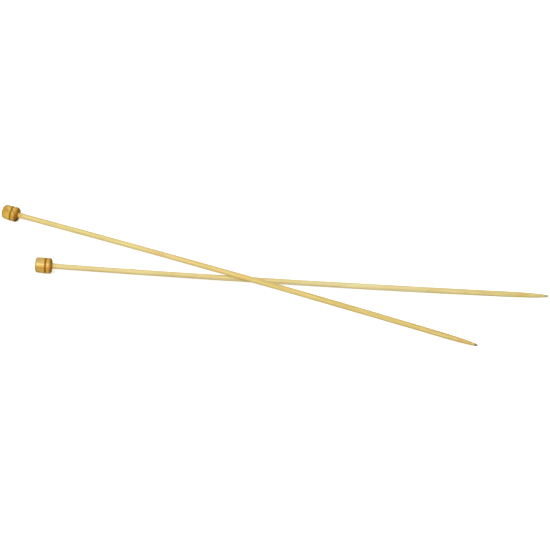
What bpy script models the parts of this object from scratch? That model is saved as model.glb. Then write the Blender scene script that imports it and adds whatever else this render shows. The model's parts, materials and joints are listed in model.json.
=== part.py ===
"""A pair of straight, single-pointed bamboo knitting needles, 3.75 mm gauge and 350 mm long.

Each needle is a turned bamboo shaft with a long rounded point, glued into the blind bore of
a turned wooden knob.  The pair lies on a flat surface with one needle across the other: the
lower needle rests on its knob and near its point, the upper one on its knob and on the lower
shaft.  Units are metres and +Z is up.  +X runs along the needles, towards their points.
"""
import math

import bpy
from mathutils import Matrix, Vector

# Shaft, measured in stations along the needle from the outer face of its knob
NEEDLE_LENGTH = 0.350
SHAFT_START = 0.0025        # where the glued end sits, inside the knob
SHAFT_RADIUS = 0.00196      # at its thickest
SHAFT_PARED = 0.00012       # how much thinner the shaft runs out towards both ends
THICKEST_STATION = 0.245
PARED_REACH = 0.090         # length over which the shaft thins to each side of its thickest
SHAFT_CHAMFER = 0.0003      # at the glued end
POINT_LENGTH = 0.026
POINT_FULLNESS = 1.5        # a larger power makes the point stouter

# Knob, with heights measured from its flat outer face
KNOB_LENGTH = 0.0113
UPPER_KNOB_RADIUS = 0.0052
LOWER_KNOB_RADIUS = 0.0055
UPPER_END_ROUND = 0.0020
LOWER_END_ROUND = 0.00155
BARREL_TAPER = 0.045        # how much narrower the barrel is at its outer end, as a share
COLLAR_ROUND = 0.0019
GROOVE_HEIGHT = 0.0070
GROOVE_WIDTH = 0.0012
GROOVE_DEPTH = 0.0003
BORE_FLOOR = 0.0022
GLUE_GAP = 0.0003           # kept all round the shaft inside the bore

# How the pair lies
UPPER_HEADING = math.radians(-22.6)
LOWER_HEADING = math.radians(-4.52)
UPPER_CROSSING = 0.1723     # station of the upper needle above the crossing
LOWER_CROSSING = 0.1358
UPPER_BOW = 0.00169         # sideways rise of the natural bow over the whole length
LOWER_BOW = -0.00166
CONTACT_GAP = 0.0003        # kept between the two shafts at the crossing
KNOB_CONTACT = 0.0063       # station at which a knob touches the surface
POINT_CONTACT = 0.324       # station at which the lower shaft touches the surface

SHAFT_SIDES = 24
KNOB_SIDES = 36
MERGE_DISTANCE = 0.000001

BAMBOO_COLOUR = (0.780, 0.640, 0.300)
UPPER_KNOB_COLOUR = (0.560, 0.320, 0.070)
LOWER_KNOB_COLOUR = (0.640, 0.420, 0.115)


def clear_scene():
    for old in list(bpy.data.objects):
        bpy.data.objects.remove(old, do_unlink=True)


def new_collection(name):
    collection = bpy.data.collections.new(name)
    bpy.context.scene.collection.children.link(collection)
    return collection


def wood(name, colour, roughness):
    material = bpy.data.materials.new(name)
    material.use_nodes = True
    shader = material.node_tree.nodes["Principled BSDF"]
    shader.inputs["Base Color"].default_value = (*colour, 1.0)
    shader.inputs["Roughness"].default_value = roughness
    shader.inputs["Metallic"].default_value = 0.0
    return material


def smoothstep(value):
    value = min(max(value, 0.0), 1.0)
    return value * value * (3.0 - 2.0 * value)


def arc(centre_radius, centre_height, size, start_degrees, end_degrees, steps=8):
    """Points of a round edge as (radius, height), with 0 degrees outwards and 90 up."""
    points = []
    for step in range(steps + 1):
        angle = math.radians(start_degrees + (end_degrees - start_degrees) * step / steps)
        points.append((centre_radius + size * math.cos(angle), centre_height + size * math.sin(angle)))
    return points


def shaft_radius(station):
    """The shaft is thickest past its middle, and its point is a blunt-nosed ogive."""
    pared = SHAFT_PARED * smoothstep(abs(station - THICKEST_STATION) / PARED_REACH)
    to_tip = NEEDLE_LENGTH - station
    if to_tip >= POINT_LENGTH:
        return SHAFT_RADIUS - pared
    along = 1.0 - max(to_tip, 0.0) / POINT_LENGTH
    return (SHAFT_RADIUS - pared) * (1.0 - along ** POINT_FULLNESS) ** (1.0 / 3.0)


def shaft_outline(crossing):
    """Outline from the tip down to the glued end, with height 0 at the crossing."""
    point_rings = 13
    body_rings = 20
    outline = []
    for ring in range(point_rings):
        station = NEEDLE_LENGTH - POINT_LENGTH * (ring / point_rings) ** 2
        outline.append((shaft_radius(station), station - crossing))
    body_top = NEEDLE_LENGTH - POINT_LENGTH
    body_bottom = SHAFT_START + SHAFT_CHAMFER
    for ring in range(body_rings + 1):
        station = body_top + (body_bottom - body_top) * ring / body_rings
        outline.append((shaft_radius(station), station - crossing))
    end_radius = shaft_radius(SHAFT_START) - SHAFT_CHAMFER
    outline.append((end_radius, SHAFT_START - crossing))
    outline.append((0.0, SHAFT_START - crossing))
    return outline


def knob_outline(radius, end_round):
    """Outline from the bore floor up, over the collar and down to the outer face."""
    bore_radius = shaft_radius(KNOB_LENGTH) + GLUE_GAP
    outline = [(0.0, BORE_FLOOR), (bore_radius, BORE_FLOOR), (bore_radius, KNOB_LENGTH)]
    outline += arc(radius - COLLAR_ROUND, KNOB_LENGTH - COLLAR_ROUND, COLLAR_ROUND, 90.0, 0.0)
    groove_steps = 6
    for step in range(groove_steps + 1):
        across = 2.0 * step / groove_steps - 1.0
        depth = GROOVE_DEPTH * (1.0 - across * across)
        outline.append((radius - depth, GROOVE_HEIGHT - across * GROOVE_WIDTH / 2.0))
    end_radius = radius * (1.0 - BARREL_TAPER)
    outline += arc(end_radius - end_round, end_round, end_round, 0.0, -90.0)
    outline.append((0.0, 0.0))
    return outline


def turned_piece(name, outline, sides, material, collection):
    """Turn an outline of (radius, height) points about the piece's own Z axis."""
    mesh = bpy.data.meshes.new(name)
    corners = [(radius, 0.0, height) for radius, height in outline]
    edges = [(corner, corner + 1) for corner in range(len(corners) - 1)]
    mesh.from_pydata(corners, edges, [])
    piece = bpy.data.objects.new(name, mesh)
    piece.data.materials.append(material)
    collection.objects.link(piece)
    screw = piece.modifiers.new("turn", "SCREW")
    screw.axis = "Z"
    screw.angle = math.tau
    screw.steps = sides
    screw.render_steps = sides
    screw.use_smooth_shade = True
    screw.use_merge_vertices = True
    screw.merge_threshold = MERGE_DISTANCE
    return piece


def add_bow(piece, bow, length):
    """Bend a piece to the needle's bow, whose tangent runs along Z at the piece's origin."""
    bend = piece.modifiers.new("bow", "SIMPLE_DEFORM")
    bend.deform_method = "BEND"
    bend.deform_axis = "Y"
    bend.angle = -bow_curvature(bow) * length


def bow_curvature(bow):
    return 8.0 * bow / NEEDLE_LENGTH ** 2


def empty(name, parent, collection):
    holder = bpy.data.objects.new(name, None)
    holder.empty_display_size = 0.02
    holder.parent = parent
    collection.objects.link(holder)
    return holder


def aim_needle(holder, heading, slope, height):
    """Put the holder's Z along the needle and its X level, at the crossing point."""
    level = Vector((-math.sin(heading), math.cos(heading), 0.0))
    forward = Vector((math.cos(heading), math.sin(heading), 0.0))
    along = forward * math.cos(slope) + Vector((0.0, 0.0, math.sin(slope)))
    holder.rotation_euler = Matrix((level, along.cross(level), along)).transposed().to_euler()
    holder.location = (0.0, 0.0, height)


def build_needle(name, holder, crossing, bow, knob_shape, bamboo, knob_wood, collection):
    shaft = turned_piece(name + "_shaft", shaft_outline(crossing), SHAFT_SIDES, bamboo, collection)
    shaft.parent = holder
    add_bow(shaft, bow, NEEDLE_LENGTH - SHAFT_START)
    knob = turned_piece(name + "_knob", knob_outline(*knob_shape), KNOB_SIDES, knob_wood, collection)
    knob.parent = holder
    curvature = bow_curvature(bow)
    turn = curvature * crossing
    knob.location = ((math.cos(turn) - 1.0) / curvature, 0.0, -math.sin(turn) / curvature)
    knob.rotation_euler = (0.0, turn, 0.0)
    return [shaft, knob]


def stand_on_origin(root, pieces):
    """Move the whole pair so that the bottom centre of its bounding box is the origin."""
    bpy.context.view_layer.update()
    depsgraph = bpy.context.evaluated_depsgraph_get()
    points = []
    for piece in pieces:
        solid = piece.evaluated_get(depsgraph)
        points += [solid.matrix_world @ vertex.co for vertex in solid.to_mesh().vertices]
        solid.to_mesh_clear()
    lowest = [min(point[axis] for point in points) for axis in range(3)]
    highest = [max(point[axis] for point in points) for axis in range(3)]
    root.location = (-(lowest[0] + highest[0]) / 2.0, -(lowest[1] + highest[1]) / 2.0, -lowest[2])
    bpy.context.view_layer.update()


def build_pair():
    clear_scene()
    collection = new_collection("straight_knitting_needles")
    bamboo = wood("bamboo", BAMBOO_COLOUR, 0.45)
    upper_wood = wood("upper_knob_wood", UPPER_KNOB_COLOUR, 0.25)
    lower_wood = wood("lower_knob_wood", LOWER_KNOB_COLOUR, 0.25)
    root = empty("needle_pair", None, collection)

    lower = empty("lower_needle", root, collection)
    lower_drop = LOWER_KNOB_RADIUS - shaft_radius(POINT_CONTACT)
    lower_slope = -math.asin(lower_drop / (POINT_CONTACT - KNOB_CONTACT))
    lower_height = LOWER_KNOB_RADIUS + (LOWER_CROSSING - KNOB_CONTACT) * math.sin(lower_slope)
    aim_needle(lower, LOWER_HEADING, lower_slope, lower_height)
    lower_knob_shape = (LOWER_KNOB_RADIUS, LOWER_END_ROUND)
    pieces = build_needle("lower", lower, LOWER_CROSSING, LOWER_BOW, lower_knob_shape,
                          bamboo, lower_wood, collection)

    upper = empty("upper_needle", root, collection)
    shaft_spacing = shaft_radius(LOWER_CROSSING) + shaft_radius(UPPER_CROSSING) + CONTACT_GAP
    upper_height = lower_height + shaft_spacing
    upper_rise = upper_height - UPPER_KNOB_RADIUS
    upper_slope = math.asin(upper_rise / (UPPER_CROSSING - KNOB_CONTACT))
    aim_needle(upper, UPPER_HEADING, upper_slope, upper_height)
    upper_knob_shape = (UPPER_KNOB_RADIUS, UPPER_END_ROUND)
    pieces += build_needle("upper", upper, UPPER_CROSSING, UPPER_BOW, upper_knob_shape,
                           bamboo, upper_wood, collection)

    stand_on_origin(root, pieces)


build_pair()
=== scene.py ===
"""The finished look of a pair of bamboo knitting needles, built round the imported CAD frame."""

import json
import math

import bpy
import numpy as np
from mathutils import Matrix, Vector


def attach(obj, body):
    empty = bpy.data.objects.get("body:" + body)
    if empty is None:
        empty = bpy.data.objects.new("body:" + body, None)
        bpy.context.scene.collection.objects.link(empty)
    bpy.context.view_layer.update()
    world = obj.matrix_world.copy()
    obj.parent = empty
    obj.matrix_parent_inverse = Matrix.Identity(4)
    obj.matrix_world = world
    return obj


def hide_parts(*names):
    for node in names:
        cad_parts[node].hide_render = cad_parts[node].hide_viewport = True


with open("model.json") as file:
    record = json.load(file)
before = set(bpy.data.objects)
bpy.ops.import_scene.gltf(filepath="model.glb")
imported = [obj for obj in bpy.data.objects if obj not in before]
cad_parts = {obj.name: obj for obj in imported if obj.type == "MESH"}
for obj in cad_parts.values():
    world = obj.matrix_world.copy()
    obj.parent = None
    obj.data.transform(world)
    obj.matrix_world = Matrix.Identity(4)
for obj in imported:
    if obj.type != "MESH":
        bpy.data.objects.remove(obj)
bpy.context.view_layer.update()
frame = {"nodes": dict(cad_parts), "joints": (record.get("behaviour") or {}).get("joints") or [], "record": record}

MM = 0.001

# Shaft, in metres from the outer face of its knob; these repeat the CAD's sizes
NEEDLE_LENGTH = 0.350
SHAFT_START = 0.0025
SHAFT_RADIUS = 0.00196      # at its thickest
SHAFT_PARED = 0.00012       # how much thinner the shaft runs out towards both ends
THICKEST_STATION = 0.245
PARED_REACH = 0.090
POINT_LENGTH = 0.026
POINT_FULLNESS = 1.5

# Knob, with heights from its flat outer face; these repeat the CAD's sizes
KNOB_LENGTH = 0.0113
BARREL_TAPER = 0.045        # how much narrower the barrel is at its outer end, as a share
COLLAR_ROUND = 0.0019
GROOVE_HEIGHT = 0.0070
GROOVE_WIDTH = 0.0012
GROOVE_DEPTH = 0.0003
BORE_FLOOR = 0.0022

# Finer than the CAD, which keeps a wider gap round the shaft and has a sharp edge at the bore's mouth
BORE_CLEARANCE = 0.00004
MOUTH_CHAMFER = 0.00008
SHAFT_SIDES = 96
KNOB_SIDES = 160
SHARP_DEGREES = 32.0        # edges that turn more than this stay crisp
ON_AXIS = 1e-9              # a radius below this is a single point on the axis

FURROWS = 150               # shallow fibre furrows on each shaft

# In millimetres, as the wood's materials measure; a pair of stations is from none to full
# Painted reflection of the orange knob on the shaft close to it
KNOB_REFLECTION_REACH = (16.0, 11.2)    # the shaft is browner close to its knob
TIP_WEAR = (347.4, 349.7)   # and darkened by use at its tip
END_GRAIN = (8.7, 11.1)     # the knob's collar turns from side grain to end grain
HALF_GROOVE = GROOVE_WIDTH / MM / 2.0

# Where the two needles differ in shape, and the seed of each one's own unevenness
NEEDLES = {
    "upper": {"knob_radius": 0.0052, "end_round": 0.0020, "seed": 11},
    "lower": {"knob_radius": 0.0055, "end_round": 0.00155, "seed": 29},
}

# Stage, in metres
FLOOR_SIZE = 12.0
FLOOR_DROP = 0.00005        # keeps the floor just clear of the knobs that stand on it
FLOOR_GREY = 0.92
FLOOR_GLOW = 0.52           # lifts the floor to near white, and leaves the shadows faint
BACKDROP_RADIUS = 9.0
WHITE = (1.0, 1.0, 1.0, 1.0)
BLACK = (0.0, 0.0, 0.0, 1.0)

# Studio light
SKY_BRIGHT_SIDE = (-0.2, -0.5, 0.84)
SKY_LOWEST = 0.43
SKY_HIGHEST = 0.67
KEY_PLACE = (-0.76, -0.81, 1.42)
KEY_SIZE = (0.5, 0.3)
KEY_WATTS = 14.6

# Camera, in metres, degrees and, for the lens and its sensor, millimetres
AIM_PAST_CROSSING = (0.02817, 0.00738)
CAMERA_ELEVATION = 45.135
CAMERA_DISTANCE = 2.7308
CAMERA_LENS = 261.8
CAMERA_SENSOR = 36.0


# ---------------------------------------------------------------- needle lines

class NeedleLine:
    """The bowed centre line of one needle: an arc from its knob's outer face to its tip."""

    def __init__(self, name):
        mount = next(m for m in frame["record"]["mounts"] if m["name"] == name + "_knob_end")
        self.start = np.array(mount["pos_m"])
        heading = -np.array(mount["axis"])
        self.heading = heading / np.linalg.norm(heading)
        cad_shaft = frame["nodes"][name + "_shaft"].data
        corners = np.array([vertex.co for vertex in cad_shaft.vertices])
        tip = corners[np.argmax(np.linalg.norm(corners - self.start, axis=1))]
        chord = tip - self.start
        sideways = chord - self.heading * chord.dot(self.heading)
        self.bend = sideways / np.linalg.norm(sideways)
        self.curvature = 2.0 * np.linalg.norm(sideways) / chord.dot(chord)
        across = np.cross(self.heading, self.bend)
        self.up = across * math.copysign(1.0, across[2])

    def place(self, points):
        """Needle points (level, up, station) in metres, as points of the row frame."""
        turn = self.curvature * points[:, 2:3]
        along = self.heading * np.cos(turn) + self.bend * np.sin(turn)
        level = np.cross(self.up, along)
        forward = self.heading * np.sin(turn)
        aside = self.bend * (1.0 - np.cos(turn))
        centre = self.start + (forward + aside) / self.curvature
        return centre + level * points[:, 0:1] + self.up * points[:, 1:2]


# ---------------------------------------------------------------- outlines

def smoothstep(value):
    value = np.clip(value, 0.0, 1.0)
    return value * value * (3.0 - 2.0 * value)


def arc(centre_radius, centre_height, size, start_degrees, end_degrees, steps):
    """Points of a round edge as (radius, height), with 0 degrees outwards and 90 up."""
    angles = np.radians(np.linspace(start_degrees, end_degrees, steps + 1))
    return [(centre_radius + size * math.cos(a), centre_height + size * math.sin(a)) for a in angles]


def line(start, end, steps):
    """Points after start, up to and including end."""
    return [
        (start[0] + (end[0] - start[0]) * step / steps, start[1] + (end[1] - start[1]) * step / steps)
        for step in range(1, steps + 1)
    ]


def shaft_radius(station):
    pared = SHAFT_PARED * smoothstep(np.abs(station - THICKEST_STATION) / PARED_REACH)
    along = np.clip(1.0 - (NEEDLE_LENGTH - station) / POINT_LENGTH, 0.0, 1.0)
    return (SHAFT_RADIUS - pared) * (1.0 - along ** POINT_FULLNESS) ** (1.0 / 3.0)


def shaft_outline():
    """Outline from the tip down to the glued end, as (radius, station)."""
    point_rings = 70
    body_rings = 330
    into_point = POINT_LENGTH * np.linspace(0.0, 1.0, point_rings) ** 2
    body = np.linspace(NEEDLE_LENGTH - POINT_LENGTH, SHAFT_START, body_rings)
    stations = np.concatenate((NEEDLE_LENGTH - into_point, body[1:]))
    outline = list(zip(shaft_radius(stations), stations))
    outline.append((0.0, SHAFT_START))
    return outline


def groove_outline(radius):
    """The groove's round bottom, from just below its upper edge to its lower edge."""
    steps = 22
    outline = []
    for step in range(1, steps + 1):
        across = 2.0 * step / steps - 1.0
        depth = GROOVE_DEPTH * (1.0 - across * across)
        outline.append((radius - depth, GROOVE_HEIGHT - across * GROOVE_WIDTH / 2.0))
    return outline


def knob_outline(radius, end_round):
    """Outline from the bore floor up, over the collar and down to the outer face."""
    bore = shaft_radius(KNOB_LENGTH) + BORE_CLEARANCE
    outline = [(0.0, BORE_FLOOR), (bore, BORE_FLOOR)]
    outline += line(outline[-1], (bore, KNOB_LENGTH - MOUTH_CHAMFER), steps=8)
    outline.append((bore + MOUTH_CHAMFER, KNOB_LENGTH))
    collar = arc(radius - COLLAR_ROUND, KNOB_LENGTH - COLLAR_ROUND, COLLAR_ROUND, 90.0, 0.0, steps=20)
    outline += line(outline[-1], collar[0], steps=6) + collar[1:]
    outline += line(outline[-1], (radius, GROOVE_HEIGHT + GROOVE_WIDTH / 2.0), steps=10)
    outline += groove_outline(radius)
    end = arc(radius * (1.0 - BARREL_TAPER) - end_round, end_round, end_round, 0.0, -90.0, steps=16)
    outline += line(outline[-1], end[0], steps=26) + end[1:]
    outline += line(outline[-1], (0.0, 0.0), steps=14)
    return outline


# ---------------------------------------------------------------- turned meshes

def turned_ring(radius, station, angles, relief):
    """One ring of needle points, or a single point where the outline meets the axis."""
    if radius < ON_AXIS:
        return np.array([(0.0, 0.0, station)])
    grown = radius + relief(angles, station, radius)
    stations = np.full(len(angles), station)
    return np.column_stack((grown * np.cos(angles), grown * np.sin(angles), stations))


def ring_faces(rings, sides):
    """Faces that join each ring to the next, for points numbered ring after ring."""
    faces = []
    upper = 0
    for ring, next_ring in zip(rings, rings[1:]):
        lower = upper + len(ring)
        for side in range(sides):
            after = (side + 1) % sides
            if len(ring) == 1:
                faces.append((upper, lower + side, lower + after))
            elif len(next_ring) == 1:
                faces.append((upper + side, lower, upper + after))
            else:
                faces.append((upper + side, lower + side, lower + after, upper + after))
        upper = lower
    return faces


def turned_mesh(name, outline, sides, needle_line, relief):
    """Turn an outline about the needle's line.

    relief(angles, station, radius) is how far the skin stands proud of the outline.  Every
    vertex keeps its unbent place along the needle, in millimetres, in the "grain" attribute,
    which the wood's materials read.
    """
    angles = np.linspace(0.0, math.tau, sides, endpoint=False)
    rings = [turned_ring(radius, station, angles, relief) for radius, station in outline]
    points = np.concatenate(rings)
    mesh = bpy.data.meshes.new(name)
    mesh.from_pydata(needle_line.place(points), [], ring_faces(rings, sides))
    grain = mesh.attributes.new("grain", "FLOAT_VECTOR", "POINT")
    grain.data.foreach_set("vector", (points / MM).ravel())
    mesh.shade_smooth()
    mesh.set_sharp_from_angle(angle=math.radians(SHARP_DEGREES))
    mesh.update()
    piece = bpy.data.objects.new(name, mesh)
    bpy.context.scene.collection.objects.link(piece)
    return piece


def lobed(angles, station, depth, lobes, twist, phase):
    """A skin wave with lobes round the piece: depth in millimetres, twist in radians a metre."""
    return depth * MM * np.cos(lobes * angles + phase + twist * station)


def rippled(station, depth, pitch, phase):
    """A skin wave that is even round the piece: depth in millimetres, pitch in radians a metre."""
    return depth * MM * math.sin(pitch * station + phase)


def shaft_relief(seed):
    """Shallow lengthwise fibre furrows and a slightly uneven, hand-sanded roundness."""
    rng = np.random.default_rng(seed)
    furrows = [
        {
            "angle": rng.uniform(0.0, math.tau),
            "drift": rng.uniform(-0.9, 0.9),
            "middle": rng.uniform(0.02, 0.34),
            "reach": rng.uniform(0.012, 0.06),
            "width": rng.uniform(0.04, 0.09),
            "depth": rng.uniform(0.004, 0.012) * MM,
        }
        for _ in range(FURROWS)
    ]
    phases = rng.uniform(0.0, math.tau, 4)

    def relief(angles, station, radius):
        skin = lobed(angles, station, depth=0.012, lobes=2, twist=14.0, phase=phases[0])
        skin += lobed(angles, station, depth=0.006, lobes=3, twist=-23.0, phase=phases[1])
        skin += rippled(station, depth=0.010, pitch=61.0, phase=phases[2])
        skin += rippled(station, depth=0.006, pitch=173.0, phase=phases[3])
        for furrow in furrows:
            reach = (station - furrow["middle"]) / furrow["reach"]
            if abs(reach) >= 1.0:
                continue
            centre = furrow["angle"] + furrow["drift"] * (station - furrow["middle"])
            away = (angles - centre + math.pi) % math.tau - math.pi
            skin -= furrow["depth"] * (1.0 - reach * reach) * np.exp(-(away / furrow["width"]) ** 2)
        return skin * (radius / SHAFT_RADIUS)

    return relief


def knob_relief(seed, knob_radius):
    """Fine lathe rings and a little unevenness from sanding by hand, outside the bore only."""
    rng = np.random.default_rng(seed)
    phases = rng.uniform(0.0, math.tau, 5)

    def relief(angles, station, radius):
        share = (radius / knob_radius - 0.5) * 2.0
        if share < 0.0:
            return np.zeros_like(angles)
        skin = lobed(angles, station, depth=0.030, lobes=2, twist=0.0, phase=phases[0])
        skin += lobed(angles, station, depth=0.014, lobes=3, twist=0.0, phase=phases[1])
        skin += lobed(angles, station, depth=0.010, lobes=5, twist=400.0, phase=phases[2])
        skin += rippled(station, depth=0.006, pitch=2600.0, phase=phases[3])
        skin += rippled(station, depth=0.004, pitch=6100.0, phase=phases[4])
        return skin * share

    return relief


# ---------------------------------------------------------------- material helpers

class Wood:
    """One procedural material: a Principled shader and short ways to add and join nodes."""

    def __init__(self, name):
        self.material = bpy.data.materials.new(name)
        self.material.use_nodes = True
        self.tree = self.material.node_tree
        self.shader = self.tree.nodes["Principled BSDF"]
        attribute = self.node("ShaderNodeAttribute")
        attribute.attribute_type = "GEOMETRY"
        attribute.attribute_name = "grain"
        self.grain = attribute.outputs["Vector"]
        apart = self.node("ShaderNodeSeparateXYZ", {"Vector": self.grain})
        self.station = apart.outputs["Z"]

    def node(self, kind, inputs=None, **settings):
        node = self.tree.nodes.new(kind)
        for setting, value in settings.items():
            setattr(node, setting, value)
        for socket, value in (inputs or {}).items():
            self.feed(node.inputs[socket], value)
        return node

    def feed(self, socket, value):
        if isinstance(value, bpy.types.NodeSocket):
            self.tree.links.new(value, socket)
        else:
            socket.default_value = value

    def set(self, socket, value):
        self.feed(self.shader.inputs[socket], value)

    def aligned(self, turn):
        """Grain coordinates turned so that X crosses the growth rings and Z follows the fibres."""
        inputs = {"Vector": self.grain, "Rotation": turn.to_euler()}
        return self.node("ShaderNodeMapping", inputs).outputs["Vector"]

    def along(self, direction):
        """How far a point lies along a direction given in grain coordinates, in millimetres."""
        inputs = {0: self.grain, 1: Vector(direction).normalized()}
        return self.node("ShaderNodeVectorMath", inputs, operation="DOT_PRODUCT").outputs["Value"]

    def flame(self, vector, centre, slimness):
        """Distance from a centre, in a space squeezed along Z, so that its rings are long flames."""
        squeeze = (1.0, 1.0, slimness)
        inputs = {0: vector, 1: squeeze}
        squeezed = self.node("ShaderNodeVectorMath", inputs, operation="MULTIPLY").outputs["Vector"]
        inputs = {0: squeezed, 1: [value * share for value, share in zip(centre, squeeze)]}
        return self.node("ShaderNodeVectorMath", inputs, operation="DISTANCE").outputs["Value"]

    def noise(self, vector, scale, offset, detail, roughness=0.55, distortion=0.0):
        """Noise with scale features a millimetre on each axis, drawn out where the scale is small."""
        inputs = {"Vector": vector, "Scale": scale, "Location": offset}
        stretched = self.node("ShaderNodeMapping", inputs).outputs["Vector"]
        inputs = {
            "Vector": stretched,
            "Scale": 1.0,
            "Detail": detail,
            "Roughness": roughness,
            "Distortion": distortion,
        }
        return self.node("ShaderNodeTexNoise", inputs).outputs["Fac"]

    def span(self, value, start, end, low=0.0, high=1.0):
        """low at start, high at end, smooth between and constant beyond."""
        inputs = {"Value": value, "From Min": start, "From Max": end, "To Min": low, "To Max": high}
        node = self.node("ShaderNodeMapRange", inputs, interpolation_type="SMOOTHSTEP")
        return node.outputs["Result"]

    def math(self, operation, *values):
        node = self.node("ShaderNodeMath", dict(enumerate(values)), operation=operation)
        return node.outputs["Value"]

    def plus(self, first, second):
        return self.math("ADD", first, second)

    def minus(self, first, second):
        return self.math("SUBTRACT", first, second)

    def times(self, first, second):
        return self.math("MULTIPLY", first, second)

    def gap(self, first, second):
        """How far apart two values are."""
        return self.math("ABSOLUTE", self.minus(first, second))

    def mix(self, share, first, second):
        """Lay a share of the second colour over the first."""
        # Inputs 6 and 7 and output 2 are the node's colour sockets
        node = self.node("ShaderNodeMix", {0: share, 6: first, 7: second}, data_type="RGBA")
        return node.outputs[2]

    def tint(self, body, shade, value, start, full, share):
        """Lay a shade over the body: none of it at start, and this share of it at full."""
        return self.mix(self.span(value, start, full, 0.0, share), body, shade)

    def bump(self, height, depth, strength):
        inputs = {"Height": height, "Distance": depth, "Strength": strength}
        self.set("Normal", self.node("ShaderNodeBump", inputs).outputs["Normal"])


def fibre_turn(across_rings):
    """The turn that lays X across the growth rings and Z along the fibres."""
    across = Vector(across_rings).normalized()
    beside = Vector((0.0, 0.0, 1.0)).cross(across).normalized()
    return Matrix((across, beside, across.cross(beside)))


def colour(red, green, blue):
    """A colour given as 0 to 255 display values, as linear light."""
    def linear(value):
        share = value / 255.0
        return share / 12.92 if share <= 0.04045 else ((share + 0.055) / 1.055) ** 2.4
    return (linear(red), linear(green), linear(blue), 1.0)


# ---------------------------------------------------------------- looks

# Shades that both bamboo shafts share
BAMBOO_WARM = colour(233, 203, 128)
BAMBOO_GREEN = colour(222, 211, 132)
BAMBOO_PALE_STREAK = colour(250, 232, 166)
BAMBOO_DARK_STREAK = colour(199, 172, 88)
BAMBOO_BUNDLE = colour(184, 149, 70)
BAMBOO_FIBRE = colour(176, 136, 62)
BAMBOO_DASH = colour(126, 84, 34)
# The colour of the painted reflection of the knob on the shaft
BAMBOO_KNOB_REFLECTION = colour(238, 174, 78)

# Shades that both knobs share
PORE = colour(108, 62, 10)
GROWTH_LINE = colour(92, 46, 6)

# Lengths and stations are in millimetres.  The three tones follow each other from knob to point,
# and a stain is (station, half its length, the side it is on, share, colour).
BAMBOO_LOOKS = {
    "upper": {
        "offset": (3.0, 17.0, 5.0),
        "tones": (colour(233, 210, 132), colour(224, 197, 107), colour(213, 183, 87)),
        "middle_from": (90.0, 210.0),
        "far_from": (270.0, 345.0),
        "skin_side": (0.3, 1.0, 0.0),
        "tip": colour(96, 88, 52),
        "knob_reflection_share": 0.75,
        "stains": (
            (345.0, 5.0, (-0.7, 0.7, 0.0), 0.60, colour(190, 160, 76)),
            (338.0, 5.0, (-0.7, 0.7, 0.0), 0.62, colour(214, 148, 62)),
            (163.0, 5.0, (-0.7, 0.7, 0.0), 0.40, colour(236, 184, 116)),
            (178.0, 8.0, (-0.7, 0.7, 0.0), 0.50, colour(238, 188, 90)),
            (118.0, 9.0, (-0.9, 0.3, 0.0), 0.40, colour(206, 156, 76)),
        ),
    },
    "lower": {
        "offset": (41.0, 7.0, 2.0),
        "tones": (colour(231, 211, 144), colour(240, 229, 170), colour(221, 206, 130)),
        "middle_from": (120.0, 220.0),
        "far_from": (250.0, 340.0),
        "skin_side": (-0.9, -0.4, 0.0),
        "tip": colour(166, 154, 122),
        "knob_reflection_share": 0.25,
        "stains": (
            (332.0, 6.0, (-0.7, 0.7, 0.0), 0.60, colour(226, 178, 92)),
            (270.0, 11.0, (-0.9, 0.2, 0.0), 0.35, colour(214, 178, 98)),
        ),
    },
}
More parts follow.
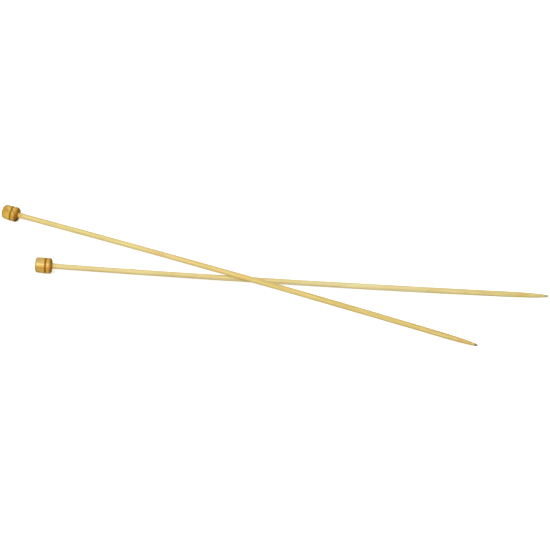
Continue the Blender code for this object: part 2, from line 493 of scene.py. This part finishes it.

# Lengths are in millimetres.  The growth rings follow each other along across_rings, and each one
# darkens over summer_from, which is in shares of its width.  A patch is (centre in grain coordinates,
# reach, share, colour); most are stains in the wood, and those marked below are painted shade.
KNOB_LOOKS = {
    "upper": {
        "offset": (4.5, 1.5, 3.0),
        "tones": (colour(244, 214, 106), colour(220, 182, 76), colour(164, 112, 24)),
        "rosy": colour(228, 156, 70),
        "olive": colour(200, 166, 40),
        "mottle_share": 0.65,
        "across_rings": (0.651, 0.344, 0.677),
        "ring_width": 3.1,
        "ring_start": 0.0,
        "ring_sway": 1.6,
        "ring_share": 0.40,
        "summer_from": (0.30, 0.92),
        "dark_line_at": 6.17,
        "dark_line_share": 0.95,
        "dark_line_from": (5.0, 8.2),
        "shaded_end_grain_share": 0.85,
        "shaded_shaft_face": colour(164, 112, 28),
        "outer_face": colour(150, 118, 40),
        "rubbed_and_shaded_to": 4.6,
        "patches": (
            ((-3.2, 3.9, 2.6), 2.4, 0.80, colour(180, 136, 26)),
            ((-0.9, 5.0, 5.2), 2.2, 0.50, colour(252, 220, 150)),
            ((-2.1, 4.7, 4.2), 1.8, 0.75, colour(190, 120, 52)),
            ((-4.6, 2.2, 4.9), 2.7, 0.60, colour(220, 168, 86)),
            ((-0.4, 5.2, 8.3), 2.3, 0.55, colour(224, 166, 106)),
            ((-4.7, 1.4, 9.6), 3.0, 0.50, colour(196, 106, 24)),
            ((-4.7, 1.4, 10.2), 1.5, 0.85, colour(104, 48, 4)),
            # These two near-black patches under the collar, beside the shaft, are painted shade over its dark end
            # grain
            ((-4.2, -1.8, 10.7), 3.1, 0.97, colour(52, 26, 2)),
            ((-2.2, -1.5, 11.4), 2.0, 0.90, colour(40, 20, 0)),
        ),
        "scorch": (colour(196, 144, 44), colour(164, 124, 24), colour(110, 74, 8)),
        "scorch_shift": -0.12,
        "varnish": 0.38,
    },
    "lower": {
        "offset": (9.0, -2.5, 6.0),
        "tones": (colour(252, 228, 142), colour(234, 198, 96), colour(178, 126, 30)),
        "rosy": colour(230, 156, 62),
        "olive": colour(204, 172, 50),
        "mottle_share": 0.30,
        "across_rings": (0.71, 0.70, 0.03),
        "ring_width": 6.0,
        "ring_start": -0.7,
        "ring_sway": 1.2,
        "ring_share": 0.62,
        "summer_from": (0.25, 0.75),
        "dark_line_at": 2.1,
        "dark_line_share": 0.30,
        "dark_line_from": (0.0, 1.5),
        "shaded_end_grain_share": 0.93,
        "shaded_shaft_face": colour(160, 102, 2),
        "outer_face": colour(152, 114, 48),
        "rubbed_and_shaded_to": 1.9,
        "patches": (
            ((-5.0, 2.2, 5.0), 2.2, 0.50, colour(216, 138, 70)),
            ((-4.8, 2.6, 1.6), 2.4, 0.40, colour(180, 146, 44)),
            # This patch is painted shade along the barrel's lower edge near its outer face
            ((-5.2, -1.2, 1.8), 2.8, 0.55, colour(146, 118, 44)),
            ((-1.2, 5.3, 2.6), 3.0, 0.60, colour(188, 172, 112)),
            ((-4.4, 3.2, 10.2), 2.8, 0.45, colour(214, 134, 30)),
        ),
        "scorch": (colour(196, 122, 24), colour(164, 102, 4), colour(118, 66, 0)),
        "scorch_shift": 0.18,
        "varnish": 0.34,
    },
}


# ---------------------------------------------------------------- bamboo

def cane(wood, look, streaks, fibres):
    """The cane's own colours along the shaft, with its bundles, streaks and dashes."""
    offset = look["offset"]
    near, middle, far = look["tones"]
    broad = wood.noise(wood.grain, (0.35, 0.35, 0.016), offset, detail=2.0)
    dashes = wood.noise(wood.grain, (6.0, 6.0, 0.13), offset, detail=1.0)
    bundles = wood.noise(wood.grain, (4.6, 4.6, 0.04), offset[::-1], detail=2.0, roughness=0.5)
    skinward = wood.span(wood.along(look["skin_side"]), -2.0, 2.0)
    bundling = wood.span(skinward, 0.0, 1.0, 0.15, 0.55)
    fraying = wood.span(skinward, 0.0, 1.0, 0.30, 0.60)

    body = wood.mix(wood.span(wood.station, *look["middle_from"]), near, middle)
    body = wood.mix(wood.span(wood.station, *look["far_from"]), body, far)
    body = wood.tint(body, BAMBOO_WARM, broad, start=0.42, full=0.62, share=0.45)
    body = wood.tint(body, BAMBOO_GREEN, broad, start=0.48, full=0.30, share=0.45)
    body = wood.tint(body, BAMBOO_PALE_STREAK, streaks, start=0.45, full=0.72, share=0.50)
    body = wood.tint(body, BAMBOO_DARK_STREAK, streaks, start=0.50, full=0.26, share=0.45)
    body = wood.mix(wood.times(wood.span(bundles, 0.52, 0.64), bundling), body, BAMBOO_BUNDLE)
    body = wood.mix(wood.times(wood.span(fibres, 0.54, 0.70), fraying), body, BAMBOO_FIBRE)
    return wood.tint(body, BAMBOO_DASH, dashes, start=0.68, full=0.74, share=0.62)


def stained(wood, body, streaks, station, half_length, side, share, patch_colour):
    """The body with one stain, ragged at its ends and strongest on one side of the shaft."""
    off_middle = wood.gap(wood.station, station)
    ragged = wood.plus(off_middle, wood.times(streaks, half_length))
    lengthwise = wood.span(ragged, 1.5 * half_length, 0.5 * half_length, 0.0, share)
    sideways = wood.times(wood.span(wood.along(side), -0.8, 1.4), wood.span(streaks, 0.72, 0.40))
    return wood.mix(wood.times(lengthwise, sideways), body, patch_colour)


def bamboo(name, look):
    """Pale sanded bamboo: long fibre bundles, densest towards the cane's skin, and a worn tip."""
    wood = Wood(name)
    streaks = wood.noise(wood.grain, (2.6, 2.6, 0.03), look["offset"], detail=4.0, roughness=0.65)
    fibres = wood.noise(wood.grain, (8.0, 8.0, 0.07), look["offset"], detail=3.0, roughness=0.6)
    body = cane(wood, look, streaks, fibres)
    # Painted reflection of the knob: the shaft is browner close to it
    body = wood.tint(body, BAMBOO_KNOB_REFLECTION, wood.station, *KNOB_REFLECTION_REACH, share=look["knob_reflection_share"])
    for patch_colour in look["stains"]:
        body = stained(wood, body, streaks, *patch_colour)
    worn = wood.plus(wood.station, wood.times(streaks, 1.2))
    body = wood.tint(body, look["tip"], worn, *TIP_WEAR, share=0.88)

    wood.set("Base Color", body)
    wood.set("Roughness", wood.span(streaks, 0.2, 0.8, 0.46, 0.34))
    wood.set("Specular IOR Level", 0.35)
    wood.bump(wood.minus(streaks, wood.times(fibres, 0.8)), depth=0.00004, strength=0.7)
    return wood.material


# ---------------------------------------------------------------- knob wood

def knob_noises(wood, trunk, offset):
    """The wood's unevenness, from the broad sway of its rings down to single pores."""
    return {
        "sway": wood.noise(trunk, (0.22, 0.22, 0.08), offset, detail=2.0),
        "mottle": wood.noise(trunk, (0.40, 0.40, 0.26), offset, detail=3.0, distortion=0.8),
        "silk": wood.noise(trunk, (4.2, 4.2, 0.30), offset, detail=4.0, roughness=0.7),
        "pores": wood.noise(trunk, (10.0, 10.0, 0.9), offset, detail=2.0, roughness=0.6),
    }


def ringed_wood(wood, look, noises, depth):
    """The wood's colours through the solid: growth rings, mottling, silk, pores and a dark line."""
    pale, mid, deep = look["tones"]
    mottle = noises["mottle"]
    silk = noises["silk"]
    years = wood.math("DIVIDE", wood.minus(depth, look["ring_start"]), look["ring_width"])
    year = wood.math("FRACT", years)
    summer = wood.times(wood.span(year, *look["summer_from"]), wood.span(year, 1.0, 0.95))

    body = wood.mix(wood.span(noises["sway"], 0.35, 0.65), pale, mid)
    body = wood.mix(wood.times(summer, look["ring_share"]), body, deep)
    body = wood.tint(body, look["rosy"], mottle, start=0.50, full=0.68, share=look["mottle_share"])
    body = wood.tint(body, look["olive"], mottle, start=0.48, full=0.30, share=look["mottle_share"])
    body = wood.tint(body, pale, silk, start=0.46, full=0.74, share=0.38)
    body = wood.tint(body, deep, silk, start=0.44, full=0.24, share=0.32)
    body = wood.tint(body, PORE, noises["pores"], start=0.60, full=0.70, share=0.50)

    # One dark growth line crosses the wood at a set depth, and fades out towards the outer face
    off_line = wood.gap(depth, look["dark_line_at"])
    line_share = wood.times(wood.span(off_line, 0.38, 0.10), wood.span(silk, 0.25, 0.60, 0.55, 1.0))
    line_fade = wood.span(wood.station, *look["dark_line_from"], 0.25, 1.0)
    line_share = wood.times(wood.times(line_share, line_fade), look["dark_line_share"])
    return wood.mix(line_share, body, GROWTH_LINE)


def patched(wood, look, noises, trunk, body):
    """The body with its patches of stain and of painted shade, ragged and drawn out along the fibres."""
    turn = fibre_turn(look["across_rings"])
    ragged = wood.plus(wood.times(noises["silk"], 0.9), wood.times(noises["mottle"], 1.4))
    for centre, reach, share, patch_colour in look["patches"]:
        away = wood.plus(wood.flame(trunk, turn @ Vector(centre), 0.6), ragged)
        body = wood.tint(body, patch_colour, away, start=reach + 1.1, full=0.9, share=share)
    return body


def scorched(wood, look, off_groove, body):
    """The body with the groove's burn: a brown halo, a darker band and a charred core.

    off_groove is the distance from the groove's middle, counted in half widths of the groove.
    """
    halo, band, core = look["scorch"]
    body = wood.tint(body, halo, off_groove, start=2.4, full=0.9, share=0.45)
    body = wood.tint(body, band, off_groove, start=1.1, full=0.65, share=0.92)
    char = wood.noise(wood.grain, (1.4, 1.4, 5.0), look["offset"], detail=3.0, roughness=0.7)
    charred = wood.times(wood.span(off_groove, 0.8, 0.1), wood.span(char, 0.35, 0.65, 0.2, 0.9))
    return wood.mix(charred, body, core)


def varnish(wood, look, noises, off_groove, end_grain):
    """A clear coat over fine silk and pores, which the groove and the end grain go without."""
    matte = wood.math("MAXIMUM", wood.span(off_groove, 1.3, 0.9), end_grain)
    polish = wood.span(noises["silk"], 0.2, 0.8, 0.46, 0.34)
    wood.set("Roughness", wood.math("MAXIMUM", polish, wood.times(matte, 0.80)))
    wood.set("Specular IOR Level", 0.05)
    wood.set("Coat Weight", wood.span(matte, 1.0, 0.0, 0.0, look["varnish"]))
    wood.set("Coat Roughness", 0.17)
    open_pores = wood.times(wood.span(noises["pores"], 0.58, 0.70), 0.9)
    wood.bump(wood.minus(noises["silk"], open_pores), depth=0.00005, strength=0.5)


def knob_wood(name, look):
    """Varnished turned wood with growth rings in parallel sheets and a scorched groove."""
    wood = Wood(name)
    trunk = wood.aligned(fibre_turn(look["across_rings"]))
    noises = knob_noises(wood, trunk, look["offset"])
    sway = wood.minus(noises["sway"], 0.5)
    depth = wood.plus(wood.along(look["across_rings"]), wood.times(sway, look["ring_sway"]))
    end_grain = wood.span(wood.station, *END_GRAIN)
    # The knob darkens towards its outer face: partly rubbed wood, partly painted shade on the end's rounding
    rubbed_and_shaded = wood.span(wood.station, look["rubbed_and_shaded_to"], 0.0, 0.0, 0.60)
    groove = wood.plus(GROOVE_HEIGHT / MM + look["scorch_shift"], wood.times(sway, 0.25))
    off_groove = wood.math("DIVIDE", wood.gap(wood.station, groove), HALF_GROOVE)

    body = ringed_wood(wood, look, noises, depth)
    # The collar darkens towards the shaft: partly its own dark end grain, partly painted shade on the face turned
    # away from the light
    body = wood.mix(wood.times(end_grain, look["shaded_end_grain_share"]), body, look["shaded_shaft_face"])
    body = wood.mix(rubbed_and_shaded, body, look["outer_face"])
    body = patched(wood, look, noises, trunk, body)
    body = scorched(wood, look, off_groove, body)
    wood.set("Base Color", body)
    varnish(wood, look, noises, off_groove, end_grain)
    return wood.material


# ---------------------------------------------------------------- pieces

def build_shaft(name, needle_line, seed, material):
    relief = shaft_relief(seed)
    shaft = turned_mesh(name + "_shaft_skin", shaft_outline(), SHAFT_SIDES, needle_line, relief)
    shaft.data.materials.append(material)
    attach(shaft, name + "_needle")
    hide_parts(name + "_shaft")


def build_knob(name, needle_line, facts, material):
    radius = facts["knob_radius"]
    outline = knob_outline(radius, facts["end_round"])
    relief = knob_relief(facts["seed"] + 1, radius)
    knob = turned_mesh(name + "_turned_knob", outline, KNOB_SIDES, needle_line, relief)
    knob.data.materials.append(material)
    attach(knob, name + "_needle")
    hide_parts(name + "_knob")


# ---------------------------------------------------------------- stage

def plain_material(name, settings):
    material = bpy.data.materials.new(name)
    material.use_nodes = True
    shader = material.node_tree.nodes["Principled BSDF"]
    for socket, value in settings.items():
        shader.inputs[socket].default_value = value
    return material


def build_floor():
    """A plain pale floor, which takes soft shadows and throws no light back on the needles."""
    bpy.ops.mesh.primitive_plane_add(size=FLOOR_SIZE, location=(0.0, 0.0, -FLOOR_DROP))
    floor = bpy.context.object
    floor.name = "floor"
    floor.data.materials.append(plain_material("pale_floor", {
        "Base Color": (FLOOR_GREY, FLOOR_GREY, FLOOR_GREY, 1.0),
        "Roughness": 0.9,
        "Emission Color": WHITE,
        "Emission Strength": FLOOR_GLOW,
    }))
    floor.visible_diffuse = False
    floor.visible_glossy = False
    floor.visible_shadow = False


def build_backdrop():
    """A plain white sphere round everything, which neither lights nor shades the needles."""
    bpy.ops.mesh.primitive_uv_sphere_add(segments=64, ring_count=32, radius=BACKDROP_RADIUS)
    backdrop = bpy.context.object
    backdrop.name = "backdrop"
    backdrop.data.materials.append(plain_material("white_backdrop", {
        "Base Color": BLACK,
        "Specular IOR Level": 0.0,
        "Emission Color": WHITE,
        "Emission Strength": 1.0,
    }))
    backdrop.visible_diffuse = False
    backdrop.visible_glossy = False
    backdrop.visible_transmission = False
    backdrop.visible_shadow = False


def build_world():
    """Even light from all round, a little stronger from above and in front."""
    world = bpy.data.worlds.new("studio")
    world.use_nodes = True
    nodes = world.node_tree.nodes
    links = world.node_tree.links
    direction = nodes.new("ShaderNodeTexCoord")
    towards = nodes.new("ShaderNodeVectorMath")
    towards.operation = "DOT_PRODUCT"
    links.new(direction.outputs["Generated"], towards.inputs[0])
    towards.inputs[1].default_value = SKY_BRIGHT_SIDE
    strength = nodes.new("ShaderNodeMapRange")
    strength.inputs["From Min"].default_value = -1.0
    strength.inputs["From Max"].default_value = 1.0
    strength.inputs["To Min"].default_value = SKY_LOWEST
    strength.inputs["To Max"].default_value = SKY_HIGHEST
    links.new(towards.outputs["Value"], strength.inputs["Value"])
    links.new(strength.outputs["Result"], nodes["Background"].inputs["Strength"])
    nodes["Background"].inputs["Color"].default_value = WHITE
    bpy.context.scene.world = world


def facing(direction):
    """The rotation that makes a lamp or camera look along a direction."""
    return direction.to_track_quat("-Z", "Y").to_euler()


def build_key_light():
    """A softbox above and to the front left of the needles, aimed at the origin."""
    lamp = bpy.data.lights.new("key", "AREA")
    lamp.shape = "RECTANGLE"
    lamp.size, lamp.size_y = KEY_SIZE
    lamp.energy = KEY_WATTS
    holder = bpy.data.objects.new("key", lamp)
    holder.location = KEY_PLACE
    holder.rotation_euler = facing(-Vector(KEY_PLACE))
    bpy.context.scene.collection.objects.link(holder)


def build_camera():
    """A long lens looking down on the pair from the front, at about 45 degrees."""
    crossing = frame["joints"][0]["pos_m"]
    target = Vector((crossing[0] + AIM_PAST_CROSSING[0], crossing[1] + AIM_PAST_CROSSING[1], 0.0))
    elevation = math.radians(CAMERA_ELEVATION)
    camera = bpy.data.cameras.new("camera")
    camera.sensor_width = CAMERA_SENSOR
    camera.lens = CAMERA_LENS
    camera.clip_start = 0.1
    camera.clip_end = 50.0
    holder = bpy.data.objects.new("camera", camera)
    back = Vector((0.0, -math.cos(elevation), math.sin(elevation)))
    holder.location = target + back * CAMERA_DISTANCE
    holder.rotation_euler = facing(-back)
    bpy.context.scene.collection.objects.link(holder)
    bpy.context.scene.camera = holder


# ---------------------------------------------------------------- the pair

bpy.context.scene.view_settings.view_transform = "Standard"
build_camera()
build_world()
build_key_light()
build_floor()
build_backdrop()

for needle, facts in NEEDLES.items():
    line_of_needle = NeedleLine(needle)
    shaft_bamboo = bamboo(needle + "_bamboo", BAMBOO_LOOKS[needle])
    turned_wood = knob_wood(needle + "_knob_grain", KNOB_LOOKS[needle])
    build_shaft(needle, line_of_needle, facts["seed"], shaft_bamboo)
    build_knob(needle, line_of_needle, facts, turned_wood)
